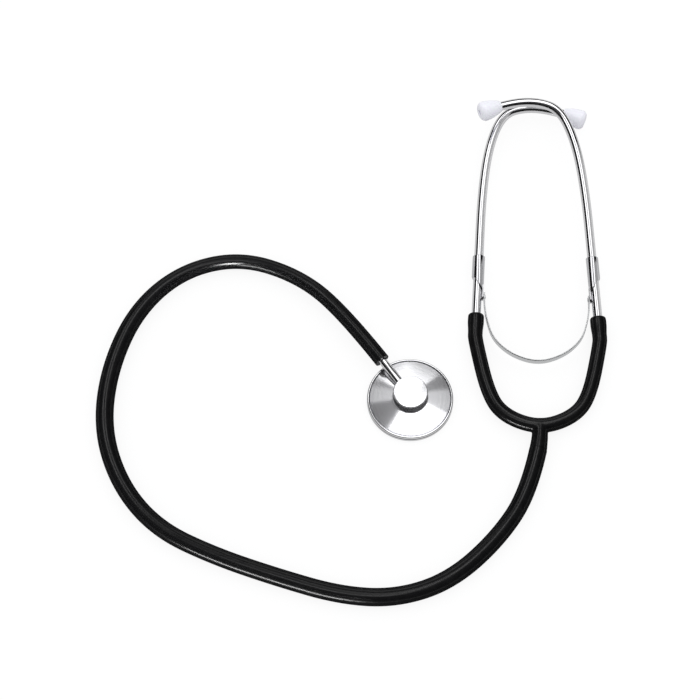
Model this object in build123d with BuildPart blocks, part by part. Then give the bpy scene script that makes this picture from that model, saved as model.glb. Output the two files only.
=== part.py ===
"""A single-head stethoscope lying on a table, in millimetres, +Z up.

The origin is on the table under the middle of the chest piece. The ear end points along +Y.
"""

from build123d import *
from math import cos, pi, radians, sin, tan
import os

os.makedirs("parts", exist_ok=True)

# Fits
thread_clearance = 0.05
running_clearance = 0.05
seat_gap = 0.05
wrap_clearance = 0.02
strip_gap = 0.15
cut_margin = 1.0

# Chest piece: a turned head with a conical back and a hub
ring_radius = 23.0
ring_height = 4.2
ring_wall = 1.0
ring_lip_width = 2.4
ring_lip_thickness = 0.5
ring_edge = 0.35
diaphragm_thickness = 0.4
diaphragm_margin = 0.15
panel_step = 0.15
panel_gap = 0.2
rim_height = 3.9
seal_width = 1.6
seal_step = 0.8
bell_apex = 3.3
bell_throat_radius = 2.8
hub_radius = 9.2
hub_base = 6.0
hub_top = 13.0
hub_fillet = 0.8
hub_edge = 0.4
sound_bore = 1.4

# Stem: a tube pressed into the hub, ridged where the hose grips it
stem_angle = 126.2
stem_height = 8.0
stem_radius = 2.25
stem_wall = 0.85
stem_inner_end = 3.0
stem_barb_length = 14.0
barb_count = 4
barb_depth = 0.3
barb_crest = 0.25

# Hose: starts on the stem and ends at the Y
hose_diameter = 9.6
hose_start = 25.0
first_run = 37.0
second_rise = 1.4
end_radius = 0.6

# Y moulding: a stem that narrows to a neck and spreads in a web between two arms
arm_radius = 4.0
mouth_radius = 4.35
mouth_bulge_length = 10.0
mouth_bulge_sink = 0.25
mouth_edge = 0.8
stem_waist_radius = 4.5
stem_neck_radius = 4.35
stem_web = 3.2
stem_sink = 0.5
crotch_y = -17.4
socket_depth = 14.0
socket_run = 14.5
headset_x = 68.7
mouth_offset = 32.7
mouth_y = 48.7
right_drop = 2.2

# Ear tubes: straight up to the bend, then in across the middle
ear_tube_radius = 2.5
ear_tube_wall = 0.6
ear_tube_straight = 74.0
lean = 3.5
left_tilt = 0.25
right_tilt = 3.6
right_twist = 7.5

# Spring clips, wrapped round the ear tubes and cut aslant
clip_wall = 0.85
clip_start = 8.5
clip_top = 34.5
clip_slant = 10.5
tab_width = 3.8
tab_length = 9.0

# Leaf spring and its rivets
strip_thickness = 0.7
strip_width = 4.4
rivet_radius = 0.8
rivet_head_radius = 1.35
rivet_head = 0.45
rivet_edge = 0.3

# Ear tips
tip_radius = 5.4
tip_back = 9.8
tip_front = 3.0
tip_neck_wall = 0.45
tip_face_radius = 3.7
tip_hole_radius = 1.3
tip_hole_edge = 0.4
tip_waist_radius = 4.55
tip_waist = 5.6
tip_rim = 0.6
tip_dome = 0.3

hose_radius = hose_diameter / 2
lay = hose_radius


def corner_radii(points, share=0.45):
    """The largest even arc at each corner: a share of the shorter run, over the tangent of half the turn."""
    runs = [Vector(b) - Vector(a) for a, b in zip(points, points[1:])]
    return [
        share * min(a.length, b.length) / tan(radians(a.get_angle(b)) / 2)
        for a, b in zip(runs, runs[1:])
    ]


# The hose's route along the table, from the stem to the Y
stem_direction = Vector(cos(radians(stem_angle)), sin(radians(stem_angle)), 0)
stem_base = stem_direction * stem_inner_end + Vector(0, 0, stem_height)
stem_plane = Plane(origin=stem_base, z_dir=stem_direction)
stem_exit = stem_direction * hose_start + Vector(0, 0, stem_height)
hose_route = [
    tuple(stem_exit),
    tuple(stem_exit + stem_direction * first_run),
    (-60.5, 71.5, lay + second_rise),
    (-92, 82.7, lay),
    (-123.3, 74.7, lay),
    (-147.2, 51.6, lay),
    (-160.6, 17.1, lay),
    (-163.3, -18.1, lay),
    (-152.7, -50.1, lay),
    (-132.6, -74.2, lay),
    (-103, -89, lay),
    (-70, -100.8, lay),
    (-37, -110.8, lay),
    (-8, -112.4, lay),
    (19.8, -102.9, lay),
    (44.4, -80.4, lay),
    (61.6, -54.2, lay),
    (67.3, -29.7, lay),
]
hose_radii = corner_radii(hose_route)
hose_section = pi * hose_radius**2


def arm_plane(side):
    """The frame of one ear tube at its arm's mouth. Y runs up the tube, and side is 1 on the right."""
    drop = right_drop if side > 0 else 0
    tilt = right_tilt if side > 0 else left_tilt
    rise = socket_run * sin(radians(tilt))
    mouth = (headset_x + side * mouth_offset, mouth_y - drop, lay + rise)
    return Plane(Pos(*mouth) * Rot(Z=side * lean) * Rot(X=tilt))


# The turned head
ring_inner_radius = ring_radius - ring_wall
head_radius = ring_inner_radius - thread_clearance
diaphragm_bottom = ring_lip_thickness + seat_gap
seal_height = diaphragm_bottom + diaphragm_thickness
with BuildPart() as chestpiece_body:
    with BuildSketch(Plane.XZ) as head_section:
        with BuildLine():
            Polyline(
                (0, bell_apex),
                (bell_throat_radius, bell_apex),
                (head_radius - seal_width, seal_height + seal_step),
                (head_radius - seal_width, seal_height),
                (head_radius, seal_height),
                (head_radius, rim_height),
                (hub_radius, hub_base),
                (hub_radius, hub_top),
                (0, hub_top),
                close=True,
            )
        make_face()
        hub_foot = head_section.vertices().sort_by_distance((hub_radius, hub_base))[0]
        fillet(hub_foot, hub_fillet)
    revolve(axis=Axis.Z)
    hub_rim = chestpiece_body.edges().filter_by(GeomType.CIRCLE).group_by(Axis.Z)[-1]
    chamfer(hub_rim, hub_edge)
    with Locations((0, 0, bell_apex)):
        Cylinder(
            sound_bore,
            stem_height - bell_apex,
            align=(Align.CENTER, Align.CENTER, Align.MIN),
            mode=Mode.SUBTRACT,
        )
    with BuildSketch(stem_plane):
        Circle(stem_radius)
    extrude(amount=hub_radius, mode=Mode.SUBTRACT)
    with BuildSketch(Plane(origin=(0, 0, stem_height), z_dir=stem_direction)):
        Circle(sound_bore)
    extrude(amount=stem_inner_end, mode=Mode.SUBTRACT)

# The ring that screws over the rim and holds the diaphragm by its lip
with BuildPart() as retaining_ring:
    with BuildSketch(Plane.XZ):
        with BuildLine():
            Polyline(
                (ring_radius - ring_lip_width, 0),
                (ring_radius, 0),
                (ring_radius, ring_height),
                (ring_inner_radius, ring_height),
                (ring_inner_radius, ring_lip_thickness),
                (ring_radius - ring_lip_width, ring_lip_thickness),
                close=True,
            )
        make_face()
    revolve(axis=Axis.Z)
    rims = retaining_ring.edges().filter_by(GeomType.CIRCLE)
    fillet(rims.group_by(SortBy.RADIUS)[-1], ring_edge)

# The diaphragm: a disc held by its edge, with a panel that stands out a little inside the ring's lip
with BuildPart() as diaphragm:
    with BuildSketch(Plane.XY.offset(diaphragm_bottom)):
        Circle(head_radius - diaphragm_margin)
    extrude(amount=diaphragm_thickness)
    with BuildSketch(Plane.XY.offset(diaphragm_bottom)):
        Circle(ring_radius - ring_lip_width - panel_gap)
    extrude(amount=-panel_step)

# The stem, with ridges that lean back towards the hub
stem_length = hose_start - stem_inner_end + stem_barb_length
barb_pitch = stem_barb_length / barb_count
with BuildPart() as chestpiece_stem:
    with BuildSketch(Plane.XZ) as stem_section:
        with BuildLine():
            barb_start = stem_length - stem_barb_length
            outline = [(stem_radius - stem_wall, 0), (stem_radius, 0), (stem_radius, barb_start)]
            for barb in range(barb_count):
                low = barb_start + barb * barb_pitch
                outline.append((stem_radius, low + barb_pitch * barb_crest))
                outline.append((stem_radius - barb_depth, low + barb_pitch))
            outline.append((stem_radius - stem_wall, stem_length))
            Polyline(*outline, close=True)
        make_face()
    revolve(axis=Axis.Z)
chestpiece_stem.part.locate(stem_plane.location)

# The hose: straight runs joined by tangent arcs, bored at the stem
with BuildPart() as main_tube:
    with BuildLine() as hose_path:
        FilletPolyline(*hose_route, radius=hose_radii)
    with BuildSketch(Plane(origin=hose_path.line @ 0, z_dir=hose_path.line % 0)):
        Circle(hose_radius)
    sweep()
    hose_length = hose_path.wire().length
    print("hose radii", [round(r, 1) for r in hose_radii])
    print("hose length", round(hose_length, 2))
    print("volume over section times length", main_tube.part.volume / (hose_length * hose_section))
    with BuildSketch(Plane(origin=stem_exit, z_dir=stem_direction)):
        Circle(stem_radius + running_clearance)
    extrude(amount=stem_barb_length + running_clearance, mode=Mode.SUBTRACT)
    bore_rim, outer_rim = main_tube.edges().filter_by(GeomType.CIRCLE).sort_by_distance(stem_exit)[:2]
    fillet(outer_rim, end_radius)

# The Y moulding: one sweep through both arms, the stem, a thickened mouth and a socket on each arm
hose_end = Vector(hose_route[-1])
hose_heading = (hose_end - Vector(hose_route[-2])).normalized()
crotch = Vector(headset_x, crotch_y, lay)
arm_bends = [(17.6, -11.3), (26.8, 0.5)]


def arm_route(side):
    """From just under the mouth down the arm, for one side."""
    frame = arm_plane(side)
    top = frame.origin - frame.y_dir * mouth_edge
    foot = frame.origin - frame.y_dir * socket_run
    return [top, foot] + [Vector(headset_x + side * x, y, lay) for x, y in reversed(arm_bends)]


y_route = [tuple(p) for p in arm_route(-1) + [crotch] + list(reversed(arm_route(1)))]
with BuildPart() as y_tube:
    with BuildLine() as y_path:
        FilletPolyline(*y_route, radius=corner_radii(y_route))
    with BuildSketch(Plane(origin=y_path.line @ 0, z_dir=y_path.line % 0)):
        Circle(arm_radius)
    sweep()
    stem_shoulder_radius = (hose_radius + stem_waist_radius) / 2
    for share, half_width, half_height in (
        (0.0, hose_radius, hose_radius),
        (0.15, stem_shoulder_radius, stem_shoulder_radius),
        (0.35, stem_waist_radius, stem_waist_radius),
        (0.58, stem_neck_radius, stem_neck_radius),
        (0.72, stem_neck_radius + 0.14 * stem_web, stem_neck_radius - 0.2 * stem_sink),
        (0.82, stem_neck_radius + 0.56 * stem_web, stem_neck_radius - 0.6 * stem_sink),
        (1.0, stem_neck_radius + stem_web, stem_neck_radius - stem_sink),
    ):
        station = hose_end + (crotch - hose_end) * share
        heading = hose_heading * (1 - share) + Vector(0, 1, 0) * share
        with BuildSketch(Plane(origin=station, x_dir=heading.cross(Vector(0, 0, 1)), z_dir=heading)):
            Ellipse(half_width, half_height)
    loft()
    bulge_foot = arm_radius - mouth_bulge_sink
    for side in (-1, 1):
        frame = arm_plane(side)
        with BuildSketch(frame):
            with BuildLine():
                Line((0, 0), (mouth_radius - mouth_edge, 0))
                RadiusArc((mouth_radius - mouth_edge, 0), (mouth_radius, -mouth_edge), mouth_edge)
                Line((mouth_radius, -mouth_edge), (mouth_radius, -mouth_bulge_length / 2))
                Line((mouth_radius, -mouth_bulge_length / 2), (bulge_foot, -mouth_bulge_length))
                Line((bulge_foot, -mouth_bulge_length), (0, -mouth_bulge_length))
                Line((0, -mouth_bulge_length), (0, 0))
            make_face()
        revolve(axis=Axis(frame.origin, frame.y_dir))
        with BuildSketch(Plane(origin=frame.origin, z_dir=-frame.y_dir)):
            Circle(ear_tube_radius + running_clearance)
        extrude(amount=socket_depth + seat_gap, mode=Mode.SUBTRACT)

# The ear tubes: one bend shape, mirrored, given as distance in towards the middle and up the tube
ear_bends = [(2.8, 30), (9.7, 49.5), (22.4, 54.5), (38.5, 53.3), (52.5, 48.6)]
ear_route = [(0, -socket_depth), (0, ear_tube_straight)]
ear_route += [(across, ear_tube_straight + up) for across, up in ear_bends]


def make_ear_tube(side):
    frame = Plane(arm_plane(side).location * Rot(Y=right_twist if side > 0 else 0))
    route = [(-side * across, up) for across, up in ear_route]
    with BuildPart() as ear_tube:
        with BuildLine(frame) as ear_path:
            FilletPolyline(*route, radius=corner_radii([(x, y, 0) for x, y in route]))
        with BuildSketch(Plane(origin=ear_path.line @ 0, z_dir=ear_path.line % 0)):
            Circle(ear_tube_radius)
            Circle(ear_tube_radius - ear_tube_wall, mode=Mode.SUBTRACT)
        sweep()
    return ear_tube, Plane(origin=ear_path.line @ 1, z_dir=ear_path.line % 1)


# The clips: a sleeve cut aslant, with a round-ended tab that carries the leaf spring
clip_radius = ear_tube_radius + clip_wall
rivet_y = clip_start + tab_width / 2


def make_clip(side):
    frame = arm_plane(side)
    with BuildPart() as clip:
        with BuildSketch(Plane(origin=frame.origin, z_dir=frame.y_dir).offset(clip_start)):
            Circle(clip_radius)
            Circle(ear_tube_radius + wrap_clearance, mode=Mode.SUBTRACT)
        extrude(amount=clip_top - clip_start)
        with BuildSketch(frame):
            with BuildLine():
                reach = side * (clip_radius + cut_margin)
                Polyline(
                    (reach, clip_start - cut_margin),
                    (-reach, clip_start - cut_margin),
                    (-reach, clip_start + tab_length / 2),
                    (reach, clip_start + tab_length / 2 + clip_slant),
                    close=True,
                )
            make_face()
        extrude(amount=clip_radius, both=True, mode=Mode.SUBTRACT)
        tab_face = Plane(
            origin=frame.from_local_coords((-side * clip_radius, clip_start, 0)),
            x_dir=frame.y_dir,
            z_dir=frame.x_dir * side,
        )
        with BuildSketch(tab_face):
            with Locations((tab_width / 2, 0)):
                Circle(tab_width / 2)
                Rectangle(tab_length, tab_width, align=(Align.MIN, Align.CENTER))
                Circle(rivet_radius, mode=Mode.SUBTRACT)
        extrude(amount=clip_wall - running_clearance)
    return clip


strip_outer = clip_radius + strip_gap
strip_middle = strip_outer + strip_thickness / 2
strip_inner = strip_outer + strip_thickness


def make_rivet(side):
    """A rivet through the tab and the strip, flush beside the ear tube, with a domed head on the strip."""
    frame = arm_plane(side)
    seat = frame.from_local_coords((-side * (ear_tube_radius + running_clearance), rivet_y, 0))
    head_start = strip_inner - ear_tube_radius - running_clearance + seat_gap
    with BuildPart(Plane(origin=seat, z_dir=frame.x_dir * -side)) as rivet:
        Cylinder(rivet_radius, head_start, align=(Align.CENTER, Align.CENTER, Align.MIN))
        with Locations((0, 0, head_start)):
            Cylinder(rivet_head_radius, rivet_head, align=(Align.CENTER, Align.CENTER, Align.MIN))
        head_edge = rivet.edges().filter_by(GeomType.CIRCLE).sort_by_distance(seat)[-1]
        fillet(head_edge, rivet_edge)
    return rivet


# The leaf spring: a strip on edge, bent to a U between the two tabs
strip_bends = [(27.0, 43.5), (23.6, 33.0), (14.0, 24.0)]
strip_bottom = 19.4


def strip_end(side):
    frame = arm_plane(side)
    ends = [(rivet_y + tab_width / 2), (rivet_y - tab_width)]
    points = [frame.from_local_coords((-side * strip_middle, y, 0)) for y in ends]
    return [(p.X, p.Y) for p in points] + [(headset_x + side * x, y) for x, y in strip_bends]


strip_height = sum(arm_plane(side).from_local_coords((0, rivet_y, 0)).Z for side in (-1, 1)) / 2
strip_route = strip_end(-1) + [(headset_x, strip_bottom)] + list(reversed(strip_end(1)))
with BuildPart() as leaf_spring:
    with BuildLine(Plane.XY.offset(strip_height)) as strip_path:
        FilletPolyline(*strip_route, radius=corner_radii([(x, y, 0) for x, y in strip_route], 0.48))
    with BuildSketch(Plane(origin=strip_path.line @ 0, x_dir=(0, 0, 1), z_dir=strip_path.line % 0)):
        Rectangle(strip_width, strip_thickness)
    sweep()
    for side in (-1, 1):
        frame = arm_plane(side)
        hole = Plane(origin=frame.from_local_coords((0, rivet_y, 0)), z_dir=frame.x_dir * -side)
        with BuildSketch(hole):
            Circle(rivet_radius + running_clearance)
        extrude(amount=strip_inner + cut_margin, mode=Mode.SUBTRACT)


def make_ear_tip(end_plane):
    """A mushroom tip on the end of an ear tube: neck, flared back, rounded rim, slightly domed face."""
    socket = ear_tube_radius + running_clearance
    neck = socket + tip_neck_wall
    with BuildPart() as ear_tip:
        with BuildSketch(Plane.XZ):
            with BuildLine():
                Line((tip_hole_radius, seat_gap), (socket, seat_gap))
                Line((socket, seat_gap), (socket, -tip_back))
                Line((socket, -tip_back), (neck, -tip_back))
                waist = (tip_waist_radius, -tip_waist)
                flank = ThreePointArc((neck, -tip_back), waist, (tip_radius, -tip_rim))
                rim = TangentArc(flank @ 1, (tip_face_radius, tip_front - tip_dome), tangent=flank % 1)
                mouth = Line(rim @ 1, (tip_hole_radius + tip_hole_edge, tip_front))
                Line(mouth @ 1, (tip_hole_radius, tip_front - tip_hole_edge))
                Line((tip_hole_radius, tip_front - tip_hole_edge), (tip_hole_radius, seat_gap))
            make_face()
        revolve(axis=Axis.Z)
    ear_tip.part.locate(end_plane.location)
    return ear_tip


pieces = {
    "chestpiece_body": chestpiece_body,
    "retaining_ring": retaining_ring,
    "diaphragm": diaphragm,
    "chestpiece_stem": chestpiece_stem,
    "main_tube": main_tube,
    "y_tube": y_tube,
    "leaf_spring": leaf_spring,
}
for side, word in ((-1, "left"), (1, "right")):
    ear_tube, ear_end = make_ear_tube(side)
    pieces[f"{word}_ear_tube"] = ear_tube
    pieces[f"{word}_spring_clip"] = make_clip(side)
    pieces[f"{word}_spring_rivet"] = make_rivet(side)
    pieces[f"{word}_ear_tip"] = make_ear_tip(ear_end)
    print(word, "mouth", arm_plane(side).origin, "ear end", ear_end.origin, ear_end.z_dir)

for name, piece in pieces.items():
    piece.part.label = name
    export_step(piece.part, f"parts/{name}.step")
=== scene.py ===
import bpy
from math import cos, pi, radians, sin
from mathutils import Matrix, Vector


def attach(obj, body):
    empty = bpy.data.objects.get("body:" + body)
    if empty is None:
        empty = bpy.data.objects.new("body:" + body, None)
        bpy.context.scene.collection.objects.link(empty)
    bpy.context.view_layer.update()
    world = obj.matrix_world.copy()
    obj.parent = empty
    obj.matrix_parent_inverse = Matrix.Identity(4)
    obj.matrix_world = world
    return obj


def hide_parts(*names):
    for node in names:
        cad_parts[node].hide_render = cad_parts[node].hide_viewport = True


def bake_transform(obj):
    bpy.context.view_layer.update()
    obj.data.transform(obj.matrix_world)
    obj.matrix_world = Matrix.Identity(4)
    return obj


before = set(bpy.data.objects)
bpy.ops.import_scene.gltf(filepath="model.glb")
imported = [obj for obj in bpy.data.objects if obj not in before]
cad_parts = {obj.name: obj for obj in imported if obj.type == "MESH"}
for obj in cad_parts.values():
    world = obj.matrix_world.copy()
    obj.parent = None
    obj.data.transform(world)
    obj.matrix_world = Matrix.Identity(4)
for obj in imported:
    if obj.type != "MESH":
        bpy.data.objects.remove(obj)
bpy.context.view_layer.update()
mm = 0.001
curveWeld = 1e-7  # metres within which doubled points of a swept or cut mesh are merged
spinWeld = 1e-6
print("frame loaded:", len(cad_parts), "nodes")


# Helpers for selecting, modifiers and placing

def deselectAll():
    if bpy.context.object and bpy.context.object.mode != "OBJECT":
        bpy.ops.object.mode_set(mode="OBJECT")
    bpy.ops.object.select_all(action="DESELECT")


def only(piece):
    deselectAll()
    piece.select_set(True)
    bpy.context.view_layer.objects.active = piece


def applyModifier(piece, kind, **values):
    only(piece)
    modifier = piece.modifiers.new(kind.title(), kind)
    for key, value in values.items():
        setattr(modifier, key, value)
    bpy.ops.object.modifier_apply(modifier=modifier.name)


def roundEdges(piece, width, segments=3, angle=40):
    applyModifier(
        piece, "BEVEL", width=width * mm, segments=segments, limit_method="ANGLE", angle_limit=radians(angle)
    )


def placePiece(piece, place):
    only(piece)
    piece.matrix_world = place
    bpy.ops.object.transform_apply(location=True, rotation=True, scale=True)


def finishPiece(piece, material, angle=38):
    only(piece)
    bpy.ops.object.shade_smooth_by_angle(angle=radians(angle))
    piece.data.materials.clear()
    piece.data.materials.append(material)


def copyPiece(piece, name):
    twin = piece.copy()
    twin.data = piece.data.copy()
    twin.name = name
    bpy.context.scene.collection.objects.link(twin)
    return twin


def joinPieces(piece, *others):
    only(piece)
    for other in others:
        other.select_set(True)
    bpy.ops.object.join()


def cutAway(piece, point, normal, fill=True):  # drops what lies on the normal's side
    only(piece)
    bpy.ops.object.mode_set(mode="EDIT")
    bpy.ops.mesh.select_all(action="SELECT")
    bpy.ops.mesh.bisect(plane_co=point, plane_no=normal, clear_outer=True, use_fill=fill, threshold=curveWeld)
    bpy.ops.object.mode_set(mode="OBJECT")


def spinOutline(name, outline, steps=96):  # a closed outline of (radius, height) in millimetres, spun about Z
    deselectAll()
    bpy.ops.mesh.primitive_plane_add(size=mm)
    piece = bpy.context.object
    piece.name = name
    bpy.ops.object.mode_set(mode="EDIT")
    bpy.ops.mesh.select_mode(type="VERT")
    bpy.ops.mesh.select_all(action="SELECT")
    bpy.ops.mesh.merge(type="CENTER")
    bpy.ops.transform.translate(value=Vector((outline[0][0], 0, outline[0][1])) * mm)
    for (r0, z0), (r1, z1) in zip(outline, outline[1:] + outline[:1]):
        step = Vector((r1 - r0, 0, z1 - z0)) * mm
        bpy.ops.mesh.extrude_vertices_move(TRANSFORM_OT_translate={"value": step})
    bpy.ops.mesh.select_all(action="SELECT")
    bpy.ops.mesh.remove_doubles(threshold=spinWeld)
    bpy.ops.mesh.spin(steps=steps, angle=2 * pi, center=(0, 0, 0), axis=(0, 0, 1))
    bpy.ops.mesh.select_all(action="SELECT")
    bpy.ops.mesh.remove_doubles(threshold=spinWeld)
    bpy.ops.mesh.normals_make_consistent(inside=False)
    bpy.ops.object.mode_set(mode="OBJECT")
    return piece


def arcThrough(a, b, c, count):  # points on the circle through three points, without the first
    (ax, ay), (bx, by), (cx, cy) = a, b, c
    ra, rb, rc = ax**2 + ay**2, bx**2 + by**2, cx**2 + cy**2
    bulge = 2 * (ax * (by - cy) + bx * (cy - ay) + cx * (ay - by))
    middleX = (ra * (by - cy) + rb * (cy - ay) + rc * (ay - by)) / bulge
    middleY = (ra * (cx - bx) + rb * (ax - cx) + rc * (bx - ax)) / bulge
    start = Vector((ax - middleX, ay - middleY))
    turn = start.angle_signed(Vector((cx - middleX, cy - middleY)))
    arms = [Matrix.Rotation(-turn * i / count, 2) @ start for i in range(1, count + 1)]
    return [(middleX + arm.x, middleY + arm.y) for arm in arms]


def routeCurve(name, points, radii=None, depth=0.0, sides=12, steps=12):  # points and depth in metres
    curve = bpy.data.curves.new(name, "CURVE")
    curve.dimensions = "3D"
    spline = curve.splines.new("NURBS")
    spline.points.add(len(points) - 1)
    for i, point in enumerate(points):
        spline.points[i].co = (*point, 1.0)
        spline.points[i].radius = radii[i] if radii else 1.0
    spline.order_u = 3
    spline.use_endpoint_u = True
    curve.resolution_u = steps
    curve.bevel_depth = depth
    curve.bevel_resolution = sides
    curve.use_fill_caps = depth > 0
    line = bpy.data.objects.new(name, curve)
    bpy.context.scene.collection.objects.link(line)
    return line


def toMesh(line):
    only(line)
    bpy.ops.object.convert(target="MESH")
    piece = bpy.context.object
    bpy.ops.object.mode_set(mode="EDIT")
    bpy.ops.mesh.select_all(action="SELECT")
    bpy.ops.mesh.remove_doubles(threshold=curveWeld)
    bpy.ops.mesh.normals_make_consistent(inside=False)
    bpy.ops.object.mode_set(mode="OBJECT")
    return piece


def linePoints(line):  # the smooth line of a curve with no bevel
    mesh = bpy.data.meshes.new_from_object(line)
    points = [tuple(v.co) for v in mesh.vertices]
    bpy.data.meshes.remove(mesh)
    return points


# Shader nodes that several finishes share

def newGroup(name, inputs, outputs):
    group = bpy.data.node_groups.new(name, "ShaderNodeTree")
    for socket in inputs:
        kind = "NodeSocketVector" if socket == "Vector" else "NodeSocketFloat"
        group.interface.new_socket(socket, in_out="INPUT", socket_type=kind)
    for socket in outputs:
        group.interface.new_socket(socket, in_out="OUTPUT", socket_type="NodeSocketFloat")
    return group, group.nodes, group.links


def add(nodes, kind, **values):
    node = nodes.new(kind)
    for key, value in values.items():
        if key in node.inputs:
            node.inputs[key].default_value = value
        else:
            setattr(node, key, value)
    return node


def addRange(nodes, links, value, lowest, highest):  # spreads a part of a texture's values over 0 to 1
    spread = nodes.new("ShaderNodeMapRange")
    spread.inputs["From Min"].default_value = lowest
    spread.inputs["From Max"].default_value = highest
    links.new(value, spread.inputs["Value"])
    return spread


def addMix(nodes, links, factor, first, second):  # each one a colour, or the socket that gives one
    mix = add(nodes, "ShaderNodeMix", data_type="RGBA")
    links.new(factor, mix.inputs["Factor"])
    for key, source in (("A", first), ("B", second)):
        if isinstance(source, tuple):
            mix.inputs[key].default_value = (*source, 1.0)
        else:
            links.new(source, mix.inputs[key])
    return mix.outputs["Result"]


def makeHazeGroup():  # a roughness that drifts between two values, as handled surfaces do
    group, nodes, links = newGroup("handlingHaze", ["Vector", "Scale", "Low", "High"], ["Roughness"])
    start = nodes.new("NodeGroupInput")
    end = nodes.new("NodeGroupOutput")
    cloud = add(nodes, "ShaderNodeTexNoise", Detail=5.0, Roughness=0.6, Distortion=0.4)
    links.new(start.outputs["Vector"], cloud.inputs["Vector"])
    links.new(start.outputs["Scale"], cloud.inputs["Scale"])
    spread = addRange(nodes, links, cloud.outputs["Fac"], lowest=0.35, highest=0.68)
    links.new(start.outputs["Low"], spread.inputs["To Min"])
    links.new(start.outputs["High"], spread.inputs["To Max"])
    links.new(spread.outputs["Result"], end.inputs["Roughness"])
    return group


def makeHairlineGroup():  # fine scratches along one direction of the vector it is given
    group, nodes, links = newGroup("hairlines", ["Vector", "Across", "Along"], ["Height", "Mask"])
    start = nodes.new("NodeGroupInput")
    end = nodes.new("NodeGroupOutput")
    stretch = nodes.new("ShaderNodeCombineXYZ")
    links.new(start.outputs["Across"], stretch.inputs["X"])
    links.new(start.outputs["Along"], stretch.inputs["Y"])
    links.new(start.outputs["Across"], stretch.inputs["Z"])
    scaled = add(nodes, "ShaderNodeVectorMath", operation="MULTIPLY")
    links.new(start.outputs["Vector"], scaled.inputs[0])
    links.new(stretch.outputs["Vector"], scaled.inputs[1])
    lines = add(nodes, "ShaderNodeTexNoise", Scale=1.0, Detail=3.0, Roughness=0.55)
    links.new(scaled.outputs["Vector"], lines.inputs["Vector"])
    deep = addRange(nodes, links, lines.outputs["Fac"], lowest=0.62, highest=0.72)
    links.new(lines.outputs["Fac"], end.inputs["Height"])
    links.new(deep.outputs["Result"], end.inputs["Mask"])
    return group


def makeTurningGroup():  # the fine rings that a lathe tool leaves about the Z axis
    group, nodes, links = newGroup("turningMarks", ["Vector", "Rings"], ["Height", "Tone"])
    start = nodes.new("NodeGroupInput")
    end = nodes.new("NodeGroupOutput")
    flat = add(nodes, "ShaderNodeVectorMath", operation="MULTIPLY")
    flat.inputs[1].default_value = (1.0, 1.0, 0.0)
    links.new(start.outputs["Vector"], flat.inputs[0])
    reach = add(nodes, "ShaderNodeVectorMath", operation="LENGTH")
    links.new(flat.outputs["Vector"], reach.inputs[0])
    count = add(nodes, "ShaderNodeMath", operation="MULTIPLY")
    links.new(reach.outputs["Value"], count.inputs[0])
    links.new(start.outputs["Rings"], count.inputs[1])
    fine = add(nodes, "ShaderNodeTexNoise", noise_dimensions="1D", Scale=1.0, Detail=4.0, Roughness=0.7)
    broad = add(nodes, "ShaderNodeTexNoise", noise_dimensions="1D", Scale=0.12, Detail=2.0, Roughness=0.5)
    for cloud in (fine, broad):
        links.new(count.outputs["Value"], cloud.inputs["W"])
    links.new(fine.outputs["Fac"], end.inputs["Height"])
    links.new(broad.outputs["Fac"], end.inputs["Tone"])
    return group


hazeGroup = makeHazeGroup()
hairlineGroup = makeHairlineGroup()
turningGroup = makeTurningGroup()
print("shader groups ready")


def newFinish(name, colour, metallic):
    material = bpy.data.materials.new(name)
    material.use_nodes = True
    nodes = material.node_tree.nodes
    links = material.node_tree.links
    shader = nodes["Principled BSDF"]
    shader.inputs["Base Color"].default_value = (*colour, 1.0)
    shader.inputs["Metallic"].default_value = metallic
    place = nodes.new("ShaderNodeTexCoord").outputs["Object"]
    return material, nodes, links, shader, place


def addHaze(nodes, links, shader, place, scale, low, high):
    haze = add(nodes, "ShaderNodeGroup", node_tree=hazeGroup, Scale=scale, Low=low, High=high)
    links.new(place, haze.inputs["Vector"])
    links.new(haze.outputs["Roughness"], shader.inputs["Roughness"])
    return haze


def addBump(nodes, links, shader, height, strength, distance):
    bump = add(nodes, "ShaderNodeBump", Strength=strength, Distance=distance)
    links.new(height, bump.inputs["Height"])
    links.new(bump.outputs["Normal"], shader.inputs["Normal"])


def addGrain(nodes, links, shader, place, scale, detail, strength, distance):  # a fine unevenness of the skin
    grain = add(nodes, "ShaderNodeTexNoise", Scale=scale, Detail=detail, Roughness=0.5)
    links.new(place, grain.inputs["Vector"])
    addBump(nodes, links, shader, grain.outputs["Fac"], strength, distance)


# Finishes

def makeVinyl():
    look = {"black": (0.004, 0.004, 0.0044), "worn": (0.008, 0.008, 0.0085), "roughness": (0.2, 0.27),
            "haze": 90.0, "bloom": 240.0, "grain": 700.0}
    material, nodes, links, shader, place = newFinish("blackVinyl", look["black"], 0.0)
    shader.inputs["IOR"].default_value = 1.47
    addHaze(nodes, links, shader, place, look["haze"], *look["roughness"])
    bloom = add(nodes, "ShaderNodeTexNoise", Scale=look["bloom"], Detail=6.0, Roughness=0.65)
    links.new(place, bloom.inputs["Vector"])
    patch = addRange(nodes, links, bloom.outputs["Fac"], lowest=0.5, highest=0.75)
    tint = addMix(nodes, links, patch.outputs["Result"], look["black"], look["worn"])
    links.new(tint, shader.inputs["Base Color"])
    addGrain(nodes, links, shader, place, look["grain"], detail=3.0, strength=0.06, distance=0.00006)
    return material


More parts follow.
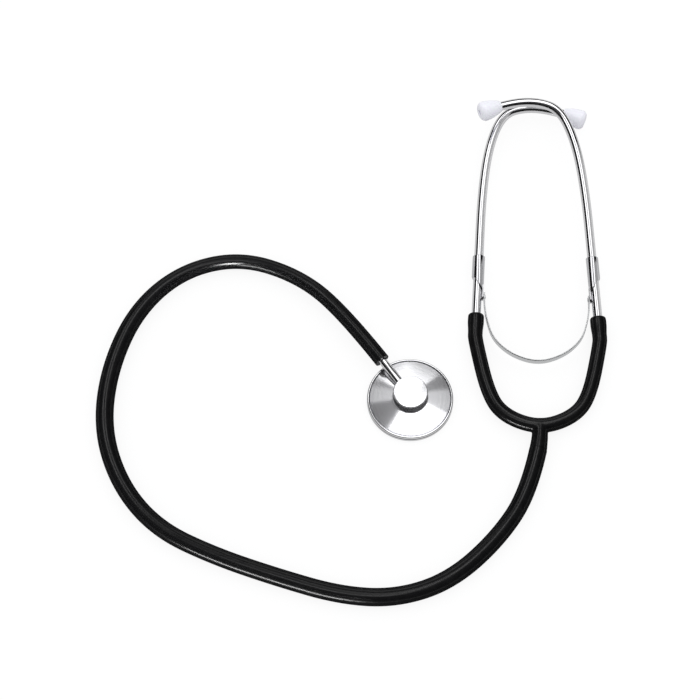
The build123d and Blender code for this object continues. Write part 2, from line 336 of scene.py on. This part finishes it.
def makeChrome(name, colour, roughness, across, along, turn=0.0):  # hairlines run along Y, turned about Z
    look = {"haze": 130.0, "scratched": 0.05}
    material, nodes, links, shader, place = newFinish(name, colour, 1.0)
    haze = addHaze(nodes, links, shader, place, look["haze"], *roughness)
    aim = add(nodes, "ShaderNodeMapping", Rotation=(0, 0, radians(turn)))
    links.new(place, aim.inputs["Vector"])
    lines = add(nodes, "ShaderNodeGroup", node_tree=hairlineGroup, Across=across, Along=along)
    links.new(aim.outputs["Vector"], lines.inputs["Vector"])
    rougher = add(nodes, "ShaderNodeMath", operation="MULTIPLY_ADD")
    links.new(lines.outputs["Mask"], rougher.inputs[0])
    rougher.inputs[1].default_value = look["scratched"]
    links.new(haze.outputs["Roughness"], rougher.inputs[2])
    links.new(rougher.outputs["Value"], shader.inputs["Roughness"])
    addBump(nodes, links, shader, lines.outputs["Height"], strength=0.05, distance=0.00002)
    return material


def makeTurned():
    look = {"bright": (0.94, 0.94, 0.96), "dull": (0.84, 0.84, 0.87), "roughness": (0.16, 0.2),
            "haze": 45.0, "rings": 7000.0}
    material, nodes, links, shader, place = newFinish("turnedAluminium", look["bright"], 1.0)
    shader.inputs["Anisotropic"].default_value = 0.85
    shader.inputs["Anisotropic Rotation"].default_value = 0.25
    around = add(nodes, "ShaderNodeTangent", direction_type="RADIAL", axis="Z")
    links.new(around.outputs["Tangent"], shader.inputs["Tangent"])
    addHaze(nodes, links, shader, place, look["haze"], *look["roughness"])
    rings = add(nodes, "ShaderNodeGroup", node_tree=turningGroup, Rings=look["rings"])
    links.new(place, rings.inputs["Vector"])
    tint = addMix(nodes, links, rings.outputs["Tone"], look["dull"], look["bright"])
    links.new(tint, shader.inputs["Base Color"])
    addBump(nodes, links, shader, rings.outputs["Height"], strength=0.12, distance=0.00004)
    return material


def makeTipPlastic():
    look = {"white": (0.86, 0.865, 0.93), "roughness": (0.28, 0.4), "haze": 260.0, "grain": 1400.0}
    material, nodes, links, shader, place = newFinish("whitePlastic", look["white"], 0.0)
    shader.inputs["Subsurface Weight"].default_value = 0.25
    shader.inputs["Subsurface Radius"].default_value = (1.0, 0.9, 1.0)
    shader.inputs["Subsurface Scale"].default_value = 0.0015
    addHaze(nodes, links, shader, place, look["haze"], *look["roughness"])
    addGrain(nodes, links, shader, place, look["grain"], detail=2.0, strength=0.12, distance=0.00006)
    return material


def makeDiaphragmSheet():
    look = {"sheet": (0.74, 0.75, 0.76), "roughness": (0.3, 0.42), "haze": 70.0, "weave": 1800.0}
    material, nodes, links, shader, place = newFinish("diaphragmSheet", look["sheet"], 0.0)
    addHaze(nodes, links, shader, place, look["haze"], *look["roughness"])
    addGrain(nodes, links, shader, place, look["weave"], detail=2.0, strength=0.1, distance=0.00005)
    return material


stemAngle = 126.2  # the stem's heading about Z, from X
chromeColour = (0.90, 0.90, 0.915)
vinyl = makeVinyl()
chrome = makeChrome("polishedChrome", chromeColour, (0.02, 0.045), 5200.0, 60.0)
stemChrome = makeChrome("stemChrome", chromeColour, (0.05, 0.09), 5200.0, 90.0, turn=90 - stemAngle)
clipSteel = makeChrome("platedSteel", (0.70, 0.70, 0.72), (0.07, 0.12), 2600.0, 120.0)
leafSteel = makeChrome("springSteel", (0.78, 0.79, 0.80), (0.16, 0.26), 900.0, 120.0)
turned = makeTurned()
tipPlastic = makeTipPlastic()
diaphragmSheet = makeDiaphragmSheet()
print("finishes ready")


# The headset's frame, in millimetres and degrees: one plane for each arm's mouth, with its Z up the ear tube

headset = {"middle": 68.7, "mouthOffset": 32.7, "mouthY": 48.7, "rightDrop": 2.2, "lay": 4.8,
           "lean": 3.5, "tilt": {-1: 0.25, 1: 3.6}, "twist": {-1: 0.0, 1: 7.5}, "socketRun": 14.5}
sideWords = {-1: "left", 1: "right"}


def armPlace(side):
    tilt = radians(headset["tilt"][side])
    mouth = Vector((
        headset["middle"] + side * headset["mouthOffset"],
        headset["mouthY"] - (headset["rightDrop"] if side > 0 else 0),
        headset["lay"] + headset["socketRun"] * sin(tilt),
    ))
    turn = Matrix.Rotation(radians(side * headset["lean"]), 4, "Z") @ Matrix.Rotation(tilt, 4, "X")
    return Matrix.Translation(mouth * mm) @ turn @ Matrix.Rotation(-pi / 2, 4, "X")


def onArm(side, across, up):  # a point beside the ear tube's axis, in metres
    return armPlace(side) @ Vector((across * mm, 0, up * mm))


# The hose: one smooth line from the stem to the Y. Its route is in metres, and all other sizes of the pieces,
# here and below, are in millimetres.

hose = {
    "route": [
        (-0.01477, 0.02017, 0.0080), (-0.03662, 0.05003, 0.0080), (-0.0605, 0.0715, 0.0062),
        (-0.0920, 0.0827, 0.0048), (-0.1233, 0.0747, 0.0048), (-0.1472, 0.0516, 0.0048),
        (-0.1606, 0.0171, 0.0048), (-0.1633, -0.0181, 0.0048), (-0.1527, -0.0501, 0.0048),
        (-0.1326, -0.0742, 0.0048), (-0.1030, -0.0890, 0.0048), (-0.0700, -0.1008, 0.0048),
        (-0.0370, -0.1108, 0.0048), (-0.0080, -0.1124, 0.0048), (0.0198, -0.1029, 0.0048),
        (0.0444, -0.0804, 0.0048), (0.0616, -0.0542, 0.0048), (0.0673, -0.0297, 0.0048),
    ],
    "radii": [4.1, 4.05, 4.0, 4.0, 4.1, 4.65, 4.8, 4.8, 4.75, 4.7, 4.7, 4.75, 4.8, 4.8, 4.8, 4.8, 4.75, 4.75],
    "lip": 0.7, "lipSteps": 4, "endReach": 1.0, "rimReach": 0.4, "bore": 2.35, "boreDepth": 2.5,
}


def pickEndFaces(piece, spot, heading, reach):  # the faces near the spot that lie across the heading
    only(piece)
    bpy.ops.object.mode_set(mode="EDIT")
    bpy.ops.mesh.select_mode(type="FACE")
    bpy.ops.mesh.select_all(action="DESELECT")
    bpy.ops.object.mode_set(mode="OBJECT")
    nearlySquare = 0.9
    for face in piece.data.polygons:
        isNear = (face.center - spot).length < reach * mm
        face.select = isNear and abs(face.normal.dot(heading)) > nearlySquare
    bpy.ops.object.mode_set(mode="EDIT")


def makeHose():
    route = hose["route"]
    widest = max(hose["radii"])
    radii = [radius / widest for radius in hose["radii"]]
    middle = routeCurve("hoseLine", route)
    path = linePoints(middle)
    bpy.data.objects.remove(middle)
    piece = toMesh(routeCurve("hose", route, radii, widest * mm, sides=14))
    start = Vector(route[0])
    heading = (Vector(route[1]) - start).normalized()
    pickEndFaces(piece, start, heading, hose["endReach"])
    bpy.ops.mesh.region_to_loop()
    bpy.ops.mesh.bevel(offset=hose["lip"] * mm, segments=hose["lipSteps"], affect="EDGES")
    pickEndFaces(piece, start, heading, hose["rimReach"])
    wall = hose["radii"][0] - hose["lip"] - hose["bore"]
    bpy.ops.mesh.inset(thickness=wall * mm)
    bpy.ops.mesh.extrude_region_move(TRANSFORM_OT_translate={"value": heading * hose["boreDepth"] * mm})
    bpy.ops.object.mode_set(mode="OBJECT")
    finishPiece(piece, vinyl)
    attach(piece, "tubing")
    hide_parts("main_tube")


makeHose()
print("hose ready")


# The Y: arms, stem and mouths moulded together, then cut where the arms begin to bend

yMoulding = {
    "armRadius": 4.0, "bends": [(26.8, 0.5), (17.6, -11.3)], "crotch": -17.4,
    "stem": [(67.3, -29.7), (67.9, -26.0), (68.5, -21.5), (68.7, -15.5)],
    "stemRadii": [4.75, 4.5, 4.35, 4.0],
    "mouth": [(0, 0), (3.55, 0), (4.1, -0.23), (4.35, -0.8), (4.4, -5.0), (4.0, -9.5), (3.6, -9.7),
              (0, -9.7)],
    "mouthRun": (-0.8, -10.0), "voxel": 0.3, "smoothing": 30, "smoothingShare": 0.5,
    "socket": 2.55, "socketDepth": 14.0, "drillOver": 2.0, "cut": (15.5, -13.7), "cutNormal": (0.93, 0.36),
    "bendStart": (25.5, 2.5), "bendEnd": -9.0,
}


def makeY():
    look = yMoulding
    middle = headset["middle"]
    lay = headset["lay"]

    def armPoints(side):
        straight = [onArm(side, 0, up) for up in (*look["mouthRun"], -headset["socketRun"])]
        return straight + [Vector((middle + side * x, y, lay)) * mm for x, y in look["bends"]]

    arms = armPoints(-1) + [Vector((middle, look["crotch"], lay)) * mm] + armPoints(1)[::-1]
    body = toMesh(routeCurve("yTube", arms, depth=look["armRadius"] * mm, steps=16))
    stemLine = [Vector((x, y, lay)) * mm for x, y in look["stem"]]
    widest = max(look["stemRadii"])
    radii = [radius / widest for radius in look["stemRadii"]]
    stem = toMesh(routeCurve("yStem", stemLine, radii, widest * mm, steps=16))
    mouths = []
    for side in (-1, 1):
        mouth = spinOutline("mouth", look["mouth"], 64)
        placePiece(mouth, armPlace(side))
        mouths.append(mouth)
    joinPieces(body, stem, *mouths)
    applyModifier(body, "REMESH", mode="VOXEL", voxel_size=look["voxel"] * mm, adaptivity=0.0)
    applyModifier(body, "SMOOTH", factor=look["smoothingShare"], iterations=look["smoothing"])
    bore = look["socket"] * mm
    depth = look["socketDepth"]
    over = look["drillOver"]
    for side in (-1, 1):
        deselectAll()
        bpy.ops.mesh.primitive_cylinder_add(vertices=64, radius=bore, depth=(depth + over) * mm)
        drill = bpy.context.object
        placePiece(drill, armPlace(side) @ Matrix.Translation((0, 0, (over - depth) / 2 * mm)))
        applyModifier(body, "BOOLEAN", object=drill, operation="DIFFERENCE", solver="EXACT")
        bpy.data.objects.remove(drill)
    cutX, cutY = look["cut"]
    normalX, normalY = look["cutNormal"]
    pieces = []
    for side in (-1, 1):
        arm = copyPiece(body, f"{sideWords[side]}YArm")
        plane = Vector((middle + side * cutX, cutY, lay)) * mm
        normal = Vector((side * normalX, normalY, 0)).normalized()
        cutAway(arm, plane, -normal)
        cutAway(body, plane, normal)
        finishPiece(arm, vinyl)
        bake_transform(arm)
        pieces.append(arm)
    body.name = "yMiddle"
    finishPiece(body, vinyl)
    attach(body, "tubing")
    for piece in (body, *pieces):
        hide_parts("y_tube")


makeY()
print("Y ready")


# Ear tubes: drawn tube bent over at the top

earTube = {
    "radius": 2.5, "edge": 0.3,
    "route": [(0, -13.9), (0, 30), (0, 74), (2.8, 104), (9.7, 123.5), (22.4, 128.5), (38.5, 127.3),
              (52.5, 122.6)],
}


def earRoute(side):
    place = armPlace(side) @ Matrix.Rotation(radians(headset["twist"][side]), 4, "Z")
    return [place @ (Vector((-side * across, 0, up)) * mm) for across, up in earTube["route"]]


def makeEarTube(side):
    name = f"{sideWords[side]}EarTube"
    piece = toMesh(routeCurve(name, earRoute(side), depth=earTube["radius"] * mm, sides=14, steps=20))
    roundEdges(piece, earTube["edge"], segments=2, angle=60)
    finishPiece(piece, chrome)
    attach(piece, f"{sideWords[side]}_binaural")
    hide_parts(f"{sideWords[side]}_ear_tube")


for side in (-1, 1):
    makeEarTube(side)
print("ear tubes ready")


# Ear tips

earTip = {"hole": 1.3, "holeEdge": 0.4, "socket": 2.55, "neck": 3.0, "back": -9.8, "waist": (4.55, -5.6),
          "rim": (5.4, -0.6), "shoulder": (5.1, 1.45), "face": (3.7, 2.7), "front": 3.0, "seat": 0.05,
          "edge": 0.16, "sideSteps": 14, "faceSteps": 12}


def makeEarTip(side):
    look = earTip
    neck = (look["neck"], look["back"])
    inner = look["hole"] + look["holeEdge"]
    socket = look["socket"]
    outline = [(look["hole"], look["seat"]), (socket, look["seat"]), (socket, look["back"]), neck]
    outline += arcThrough(neck, look["waist"], look["rim"], look["sideSteps"])
    outline += arcThrough(look["rim"], look["shoulder"], look["face"], look["faceSteps"])
    outline += [(inner, look["front"]), (look["hole"], look["front"] - look["holeEdge"])]
    piece = spinOutline(f"{sideWords[side]}EarTip", outline, 72)
    roundEdges(piece, look["edge"], angle=32)
    route = earRoute(side)
    along = (route[-1] - route[-2]).normalized()
    placePiece(piece, Matrix.Translation(route[-1]) @ along.to_track_quat("Z", "Y").to_matrix().to_4x4())
    finishPiece(piece, tipPlastic)
    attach(piece, f"{sideWords[side]}_tip")
    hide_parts(f"{sideWords[side]}_ear_tip")


for side in (-1, 1):
    makeEarTip(side)
print("ear tips ready")


# Spring clips: a sleeve cut aslant, with a tab for the rivet

clip = {"radius": 3.35, "wall": 0.83, "start": 8.5, "top": 34.5, "cutLow": 13.0, "cutHigh": 23.5,
        "cutReach": 4.35, "tabWidth": 3.8, "tabLength": 9.0, "tabRound": 0.98, "edge": 0.2, "tabEdge": 0.15}


def makeClip(side):
    look = clip
    deselectAll()
    height = look["top"] - look["start"]
    bpy.ops.mesh.primitive_cylinder_add(
        vertices=72, radius=look["radius"] * mm, depth=height * mm, end_fill_type="NOTHING",
        location=(0, 0, (look["start"] + height / 2) * mm),
    )
    sleeve = bpy.context.object
    sleeve.name = f"{sideWords[side]}Clip"
    bpy.ops.object.transform_apply(location=True, rotation=True, scale=True)
    slope = Vector((side * (look["cutHigh"] - look["cutLow"]), 0, -2 * look["cutReach"])).normalized()
    cutAway(sleeve, Vector((0, 0, (look["cutLow"] + look["cutHigh"]) / 2)) * mm, slope, fill=False)
    applyModifier(sleeve, "SOLIDIFY", thickness=look["wall"] * mm, offset=-1.0)
    roundEdges(sleeve, look["edge"])
    deselectAll()
    bpy.ops.mesh.primitive_cube_add(size=1)
    tab = bpy.context.object
    tab.scale = (look["wall"] * mm, look["tabWidth"] * mm, look["tabLength"] * mm)
    middle = (look["radius"] - look["wall"] / 2, look["start"] + look["tabLength"] / 2)
    tab.location = (-side * middle[0] * mm, 0, middle[1] * mm)
    bpy.ops.object.transform_apply(location=True, rotation=True, scale=True)
    bpy.ops.object.mode_set(mode="EDIT")
    bpy.ops.mesh.select_mode(type="EDGE")
    bpy.ops.mesh.select_all(action="DESELECT")
    bpy.ops.object.mode_set(mode="OBJECT")
    for edge in tab.data.edges:  # the two short edges through the tab's thickness at its lower end
        a, b = (tab.data.vertices[v].co for v in edge.vertices)
        edge.select = abs(a.x - b.x) > look["wall"] / 2 * mm and max(a.z, b.z) < middle[1] * mm
    bpy.ops.object.mode_set(mode="EDIT")
    bpy.ops.mesh.bevel(offset=look["tabWidth"] / 2 * look["tabRound"] * mm, segments=10, affect="EDGES")
    bpy.ops.object.mode_set(mode="OBJECT")
    roundEdges(tab, look["tabEdge"], segments=2)
    applyModifier(sleeve, "BOOLEAN", object=tab, operation="UNION", solver="EXACT")
    bpy.data.objects.remove(tab)
    placePiece(sleeve, armPlace(side))
    finishPiece(sleeve, clipSteel, angle=45)
    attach(sleeve, f"{sideWords[side]}_binaural")
    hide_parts(f"{sideWords[side]}_spring_clip")


# Rivets: a shank through tab and strip under a domed head

rivet = {"height": 10.4, "seat": 2.55, "shank": 0.8, "headStart": 1.7, "headRadius": 1.35, "head": 0.45,
         "headEdge": 0.12, "crownStep": 15}


def makeRivet(side):
    look = rivet
    neck = look["headStart"]
    edge = look["headEdge"]
    rise = look["head"] - edge
    bends = [radians(angle) for angle in range(0, 90, look["crownStep"])]
    crown = [(look["headRadius"] * cos(bend), neck + edge + rise * sin(bend)) for bend in bends]
    outline = [(0, 0), (look["shank"], 0), (look["shank"], neck), (look["headRadius"], neck), *crown,
               (0, neck + look["head"])]
    piece = spinOutline(f"{sideWords[side]}Rivet", outline, 40)
    turn = Matrix.Rotation(-side * pi / 2, 4, "Y")
    seat = Matrix.Translation((-side * look["seat"] * mm, 0, look["height"] * mm))
    placePiece(piece, armPlace(side) @ seat @ turn)
    finishPiece(piece, clipSteel)
    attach(piece, f"{sideWords[side]}_binaural")
    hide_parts(f"{sideWords[side]}_spring_rivet")


for side in (-1, 1):
    makeClip(side)
    makeRivet(side)
print("clips and rivets ready")


# The leaf spring: a thin strip on edge, bent to a U and cut in two at its middle for the spread

leaf = {"width": 4.4, "thickness": 0.7, "across": 3.85, "ends": (12.3, 6.6),
        "bends": [(27.0, 43.5), (23.6, 33.0), (14.0, 24.0)], "bottom": 19.4,
        "blendStart": (14.0, 24.0), "blendEnd": (27.5, 46.0)}


def makeLeaf():
    look = leaf
    middle = headset["middle"]
    height = sum(onArm(side, 0, rivet["height"]).z for side in (-1, 1)) / 2

    def half(side):
        ends = [onArm(side, -side * look["across"], up) for up in look["ends"]]
        bends = [Vector((middle + side * x, y, 0)) * mm for x, y in look["bends"]]
        return [Vector((p.x, p.y, height)) for p in ends + bends]

    route = half(-1) + [Vector((middle * mm, look["bottom"] * mm, height))] + half(1)[::-1]
    line = routeCurve("leaf", route, steps=24)
    line.data.twist_mode = "Z_UP"
    line.data.extrude = (look["width"] / 2 - look["thickness"] / 2) * mm
    line.data.bevel_depth = look["thickness"] / 2 * mm
    line.data.bevel_resolution = 2
    line.data.use_fill_caps = True
    strip = toMesh(line)
    for side in (-1, 1):
        piece = copyPiece(strip, f"{sideWords[side]}LeafSpring")
        cutAway(piece, Vector((middle * mm, 0, 0)), Vector((-side, 0, 0)))
        finishPiece(piece, leafSteel, angle=50)
        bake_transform(piece)
        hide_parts("leaf_spring")
    bpy.data.objects.remove(strip)


makeLeaf()
print("leaf spring ready")


# Chest piece: turned head, screwed ring, stem and diaphragm

head = {
    "outline": [(0, 3.3), (2.8, 3.3), (20.35, 1.75), (20.35, 0.95), (21.9, 0.95), (21.9, 2.6), (21.4, 3.98),
                (10.05, 5.86), (9.5, 6.05), (9.25, 6.35), (9.2, 6.8), (9.2, 12.6), (8.8, 13.0), (0, 13.0)],
    "rounding": 0.12,
}
ring = {
    "outline": [(20.6, 0), (23.0, 0), (23.0, 1.8), (22.65, 2.05), (22.65, 2.35), (23.0, 2.6), (23.0, 3.45),
                (22.75, 4.0), (22.35, 4.2), (22.0, 4.2), (22.0, 0.5), (20.6, 0.5)],
    "rounding": 0.16,
}
stem = {"height": 8.0, "radius": 2.25, "inner": 3.0, "end": 39.0, "bore": 1.4, "edge": 0.2}


def makeHead():
    piece = spinOutline("chestPieceBody", head["outline"], 160)
    roundEdges(piece, head["rounding"], segments=2, angle=32)
    finishPiece(piece, turned, angle=30)
    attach(piece, "chestpiece")
    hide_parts("chestpiece_body")


def makeRing():
    piece = spinOutline("retainingRing", ring["outline"], 160)
    roundEdges(piece, ring["rounding"], segments=4, angle=32)
    finishPiece(piece, chrome)
    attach(piece, "ring")
    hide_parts("retaining_ring")


def makeStem():
    length = stem["end"] - stem["inner"]
    outline = [(stem["bore"], 0), (stem["radius"], 0), (stem["radius"], length), (stem["bore"], length)]
    piece = spinOutline("chestPieceStem", outline, 64)
    roundEdges(piece, stem["edge"], segments=2)
    turn = radians(stemAngle)
    start = Vector((stem["inner"] * cos(turn), stem["inner"] * sin(turn), stem["height"])) * mm
    place = Matrix.Translation(start) @ Matrix.Rotation(turn, 4, "Z") @ Matrix.Rotation(pi / 2, 4, "Y")
    placePiece(piece, place)
    finishPiece(piece, stemChrome)
    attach(piece, "chestpiece")
    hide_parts("chestpiece_stem")


makeHead()
makeRing()
makeStem()
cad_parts["diaphragm"].data.materials.clear()
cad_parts["diaphragm"].data.materials.append(diaphragmSheet)
print("chest piece ready")


# Floor, backdrop and lamps

vinylPieces = ["hose", "yMiddle", "leftYArm", "rightYArm"]
headsetParts = ("EarTube", "Clip", "Rivet", "LeafSpring")
headsetPieces = [side + part for side in ("left", "right") for part in headsetParts]
tipPieces = ["leftEarTip", "rightEarTip"]
headPieces = ["chestPieceBody", "retainingRing", "chestPieceStem", "diaphragm"]

studio = {"floorSize": 12.0, "paleColour": 0.86, "shadowShare": 0.2, "mirroredShare": 0.06, "glow": 1.06,
          "mirroredGlow": 0.55, "ambient": (0.8, 0.8, 0.808), "horizon": 0.05,
          "walls": [(0.07, 0.004), (0.6, 0.008)], "ceiling": (0.08, 0.08, 0.083)}
white = (1.0, 1.0, 1.0)


def pickPieces(name, pieces):  # a collection of pieces that a light is meant for
    picked = bpy.data.collections.new(name)
    for piece in pieces:
        picked.objects.link(bpy.data.objects[piece])
    return picked


def addBackdropSwitch(nodes, links):  # 1 for the rays that see the backdrop, 0 for those it lights by
    path = nodes.new("ShaderNodeLightPath")
    first = add(nodes, "ShaderNodeMath", operation="MAXIMUM")
    second = add(nodes, "ShaderNodeMath", operation="MAXIMUM")
    links.new(path.outputs["Is Camera Ray"], first.inputs[0])
    links.new(path.outputs["Is Glossy Ray"], first.inputs[1])
    links.new(first.outputs["Value"], second.inputs[0])
    links.new(path.outputs["Is Transmission Ray"], second.inputs[1])
    return path, second.outputs["Value"]


def makeFloor():
    deselectAll()
    bpy.ops.mesh.primitive_plane_add(size=studio["floorSize"], location=(0, 0, 0))
    floor = bpy.context.object
    floor.name = "floor"
    material = bpy.data.materials.new("paleFloor")
    material.use_nodes = True
    nodes, links = material.node_tree.nodes, material.node_tree.links
    shader = nodes["Principled BSDF"]
    shader.inputs["Roughness"].default_value = 0.9
    shader.inputs["Specular IOR Level"].default_value = 0.0
    shader.inputs["Emission Color"].default_value = (*white, 1)
    path, switch = addBackdropSwitch(nodes, links)
    pale, share, dim = (studio[key] for key in ("paleColour", "shadowShare", "mirroredShare"))
    seen = addMix(nodes, links, path.outputs["Is Camera Ray"], (dim, dim, dim), (share, share, share))
    colour = addMix(nodes, links, switch, (pale, pale, pale), seen)
    links.new(colour, shader.inputs["Base Color"])
    glow = add(nodes, "ShaderNodeMix", data_type="FLOAT")
    links.new(path.outputs["Is Camera Ray"], glow.inputs["Factor"])
    glow.inputs["A"].default_value = studio["mirroredGlow"]
    glow.inputs["B"].default_value = studio["glow"] - share
    shown = add(nodes, "ShaderNodeMath", operation="MULTIPLY")
    links.new(switch, shown.inputs[0])
    links.new(glow.outputs["Result"], shown.inputs[1])
    links.new(shown.outputs["Value"], shader.inputs["Emission Strength"])
    floor.data.materials.append(material)
    metalAndTips = headsetPieces + tipPieces + headPieces
    floor.light_linking.receiver_collection = pickPieces("floorMirrors", metalAndTips)


def makeWorld():  # white for the camera, and for what mirrors it a dark studio over a bright horizon
    world = bpy.data.worlds.new("studioWorld")
    bpy.context.scene.world = world
    world.use_nodes = True
    nodes, links = world.node_tree.nodes, world.node_tree.links
    background = nodes["Background"]
    path, switch = addBackdropSwitch(nodes, links)
    direction = nodes.new("ShaderNodeTexCoord").outputs["Generated"]
    parts = nodes.new("ShaderNodeSeparateXYZ")
    links.new(direction, parts.inputs["Vector"])
    room = nodes.new("ShaderNodeValToRGB")
    ramp = room.color_ramp
    ramp.elements[0].position = studio["horizon"]
    ramp.elements[0].color = (*white, 1)
    ramp.elements[1].position = 1.0
    ramp.elements[1].color = (*studio["ceiling"], 1)
    for height, level in studio["walls"]:
        ramp.elements.new(height).color = (level, level, level, 1)
    links.new(parts.outputs["Z"], room.inputs["Fac"])
    seen = addMix(nodes, links, path.outputs["Is Camera Ray"], room.outputs["Color"], white)
    colour = addMix(nodes, links, switch, studio["ambient"], seen)
    links.new(colour, background.inputs["Color"])


def makeLamp(name, toward, distance, size, radiance, lights, target=(0, 0, 0), spread=180.0):
    lamp = bpy.data.lights.new(name, "AREA")
    lamp.shape = "RECTANGLE"
    lamp.size, lamp.size_y = size
    lamp.energy = radiance * pi * size[0] * size[1]
    lamp.spread = radians(spread)
    thing = bpy.data.objects.new(name, lamp)
    bpy.context.scene.collection.objects.link(thing)
    aim = Vector(toward).normalized()
    isLow = abs(aim.y) > 0.7
    upright = Vector((0, 0, 1)) if isLow else Vector((0, 1, 0))  # the lamp's X edge is square to this
    across = upright.cross(aim).normalized()
    turn = Matrix((across, aim.cross(across), aim)).transposed().to_4x4()
    thing.matrix_world = Matrix.Translation(Vector(target) + aim * distance) @ turn
    thing.visible_camera = False
    thing.light_linking.receiver_collection = pickPieces(name + "Pieces", lights)
    return thing


def makeHeadPanel(name, angle, outward, size, radiance, turn):
    height = headPanel["height"]
    outside = Matrix.Rotation(radians(angle), 2) @ Vector((outward * height, 0))
    spot = Vector((0, headPanel["glare"] * height)) + outside
    panel = makeLamp(name, (0, 0, 1), height, (size[0] * height, size[1] * height), radiance, headPieces)
    panel.matrix_world = Matrix.Translation((spot.x, spot.y, height)) @ Matrix.Rotation(radians(turn), 4, "Z")


makeFloor()
makeWorld()

# The lamps away from the head: their direction, their size in metres and their radiance

lampDistance = 3.0
hoseLamps = {
    "hoseLeftStrip": ((-0.40, 0.40, 1.0), (0.42, 1.3), 2.6),
    "hoseFrontStrip": ((-0.05, -0.11, 1.0), (1.1, 0.42), 2.4),
    "hoseRightStrip": ((0.10, 0.30, 1.0), (0.42, 1.5), 2.4),
    "hoseBack": ((-0.09, 0.86, 0.5), (2.2, 1.0), 0.7),
    "hoseLowFront": ((-0.407, -0.913, 0.045), (1.5, 0.42), 26.0),
}
tubeLamps = {
    "tubeLeftPanel": ((-0.33, 0.407, 0.85), (1.3, 2.8), 1.5),
    "tubeRightPanel": ((0.28, 0.407, 0.87), (1.2, 2.8), 1.5),
}
for name, (toward, size, radiance) in hoseLamps.items():
    makeLamp(name, toward, lampDistance, size, radiance, vinylPieces)
makeLamp("hoseTopRun", (0.0, -0.84, 0.545), 0.39, (0.1, 0.14), 1.2, vinylPieces, (-0.094, 0.079, 0.005), 24.0)
for name, (toward, size, radiance) in tubeLamps.items():
    makeLamp(name, toward, lampDistance, size, radiance, headsetPieces + tipPieces)
makeLamp("tubeRightCard", (0.95, 0.1, 0.35), lampDistance, (4.0, 3.0), 0.42, headsetPieces)
makeLamp("headRoof", (0.0, 0.4, 1.0), 2.6, (3.6, 3.6), 0.16, headPieces)

# Level panels over the head, set out from the place that its flat hub mirrors to the camera. A row holds
# the heading about that place, the distance and the size as shares of the panels' height, the radiance
# and the panel's own turn.

headPanel = {"height": 1.5, "glare": 0.445}
headPanels = {
    "headFrontPanel": (289.5, 0.55, (0.9, 0.9), 1.6, -25.5),
    "headBackPanel": (92.0, 0.65, (0.9, 0.9), 1.5, 47.0),
    "headUpperRightPanel": (36.0, 0.5, (0.6, 0.24), 0.16, 36.0),
    "headRightPanel": (5.0, 0.6, (0.7, 0.5), 0.5, 5.0),
    "headLeftPanel": (165.0, 0.55, (0.7, 0.42), 0.42, 165.0),
    "headGlare": (0.0, 0.0, (0.3, 0.3), 3.5, 0.0),
}
for name, row in headPanels.items():
    makeHeadPanel(name, *row)


# The camera, as the photo was taken

view = {"spot": (-0.03202, -0.58014, 1.37032), "tilt": 24.0, "lens": 143.39, "sensor": 36.0}
camera = bpy.data.objects.new("camera", bpy.data.cameras.new("camera"))
bpy.context.scene.collection.objects.link(camera)
camera.location = view["spot"]
camera.rotation_euler = (radians(view["tilt"]), 0, 0)
camera.data.lens = view["lens"]
camera.data.sensor_width = view["sensor"]
camera.data.clip_start = 0.05
bpy.context.scene.camera = camera
bpy.context.scene.view_settings.view_transform = "Standard"
print("stage ready")
